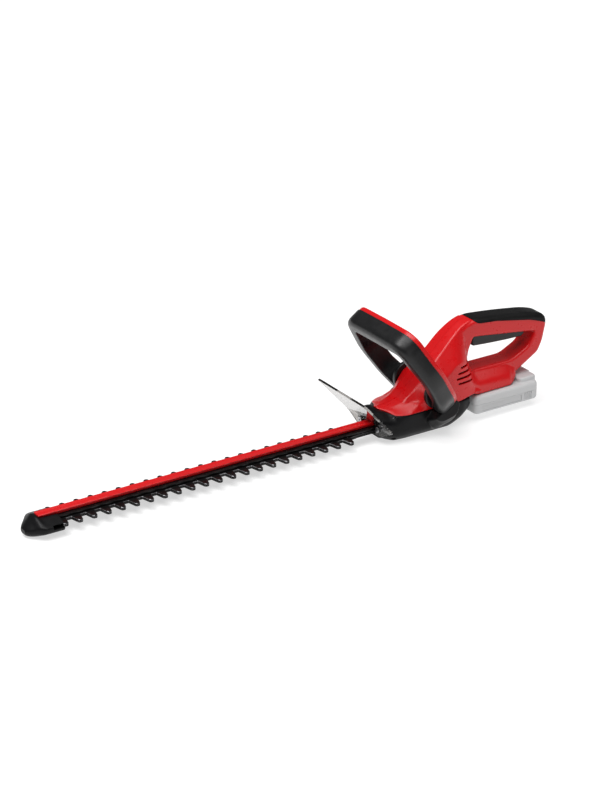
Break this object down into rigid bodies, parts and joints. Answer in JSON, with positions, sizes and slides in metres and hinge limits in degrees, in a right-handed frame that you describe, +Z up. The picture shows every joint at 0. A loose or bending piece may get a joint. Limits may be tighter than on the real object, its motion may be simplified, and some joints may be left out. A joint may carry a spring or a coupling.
{
  "type": "battery hedge trimmer",
  "caption": "Battery hedge trimmer: double-sided toothed blades under a red rail, black loop front handle, red motor housing with closed rear grip, clear hand guard and slide-on battery pack.",
  "frame": {"origin": "on the floor, in the middle of the flat belly, straight below the drive gear's axle", "axes": "+X forward along the blades to the tip, +Y to the tool's left side, +Z up"},
  "size_m": [0.8317, 0.1664, 0.1782],
  "materials": {
    "red_plastic": "glossy red moulding",
    "red_rail": "satin red extrusion",
    "black_plastic": "satin black moulding",
    "soft_grip": "matte soft-touch grip",
    "dark_steel": "blackened steel",
    "bright_steel": "machined steel",
    "clear_plastic": "clear polycarbonate",
    "grey_plastic": "pale grey moulding",
    "brass": "machined brass",
    "circuit_green": "coated circuit board",
    "cell_wrap": "shrink-wrapped cell"
  },
  "bodies": {
    "machine": {"support_bar": "dark_steel", "blade_rail": "red_rail", "blade_bolt_1": "bright_steel", "blade_bolt_2": "bright_steel", "blade_bolt_3": "bright_steel", "blade_bolt_4": "bright_steel", "blade_bolt_5": "bright_steel", "tip_guard": "black_plastic", "tip_screw": "bright_steel", "motor_can": "bright_steel", "lower_bearing": "bright_steel", "upper_bearing": "bright_steel", "gear_cover": "grey_plastic", "gear_case": "black_plastic", "case_screw_1": "bright_steel", "case_screw_2": "bright_steel", "case_screw_3": "bright_steel", "case_screw_4": "bright_steel", "housing_left": "red_plastic", "housing_right": "red_plastic", "housing_screw_1": "bright_steel", "housing_screw_2": "bright_steel", "housing_screw_3": "bright_steel", "rear_grip": "soft_grip", "trigger_pin": "bright_steel", "rear_switch": "black_plastic", "loop_shell": "black_plastic", "bar_pin_left": "bright_steel", "bar_pin_right": "bright_steel", "front_switch": "black_plastic", "hand_guard": "clear_plastic", "guard_screw_left": "bright_steel", "guard_screw_right": "bright_steel", "battery_shoe": "black_plastic", "terminal_block": "black_plastic", "circuit_board": "circuit_green"},
    "upper_blade": {"upper_blade": "dark_steel"},
    "lower_blade": {"lower_blade": "dark_steel"},
    "gear": {"drive_gear": "bright_steel", "gear_axle": "bright_steel", "upper_eccentric": "bright_steel", "lower_eccentric": "bright_steel"},
    "rotor": {"motor_pinion": "brass", "motor_shaft": "bright_steel", "motor_fan": "black_plastic"},
    "trigger": {"rear_trigger": "black_plastic"},
    "switch_bar": {"switch_bar": "red_plastic"},
    "battery": {"battery_case": "grey_plastic", "battery_lid": "grey_plastic", "battery_cell_1": "cell_wrap", "battery_cell_2": "cell_wrap", "battery_cell_3": "cell_wrap", "battery_cell_4": "cell_wrap", "battery_cell_5": "cell_wrap"},
    "latch": {"battery_latch": "grey_plastic"}
  },
  "joints": [
    {"name": "upper_blade_slide", "type": "slide", "parent": "machine", "child": "upper_blade", "axis": [1, 0, 0], "range_m": [0, 0.0105]},
    {"name": "lower_blade_slide", "type": "slide", "parent": "machine", "child": "lower_blade", "axis": [1, 0, 0], "range_m": [-0.0105, 0]},
    {"name": "gear_spin", "type": "hinge", "parent": "machine", "child": "gear", "pos_m": [0, 0, 0.026], "axis": [0, 0, 1], "continuous": true},
    {"name": "motor_spin", "type": "hinge", "parent": "machine", "child": "rotor", "pos_m": [-0.0345, 0, 0.026], "axis": [0, 0, 1], "continuous": true},
    {"name": "trigger_squeeze", "type": "hinge", "parent": "machine", "child": "trigger", "pos_m": [-0.183, 0, 0.112], "axis": [0, -1, 0], "range_deg": [0, 4], "stiffness_Nm_per_rad": 1.5, "springref_deg": -5.73},
    {"name": "bar_squeeze", "type": "hinge", "parent": "machine", "child": "switch_bar", "pos_m": [-0.021, 0, 0.054], "axis": [0, 1, 0], "range_deg": [0, 1.5], "stiffness_Nm_per_rad": 6, "springref_deg": -3.44},
    {"name": "battery_release", "type": "slide", "parent": "machine", "child": "battery", "axis": [-1, 0, 0], "range_m": [0, 0.08]},
    {"name": "latch_press", "type": "slide", "parent": "battery", "child": "latch", "axis": [1, 0, 0], "range_m": [0, 0.003], "stiffness_N_per_m": 900, "springref_m": -0.003}
  ],
  "couplings": [
    {"joint": "lower_blade_slide", "follows": "upper_blade_slide", "ratio": -1},
    {"joint": "motor_spin", "follows": "gear_spin", "ratio": -3.6}
  ]
}
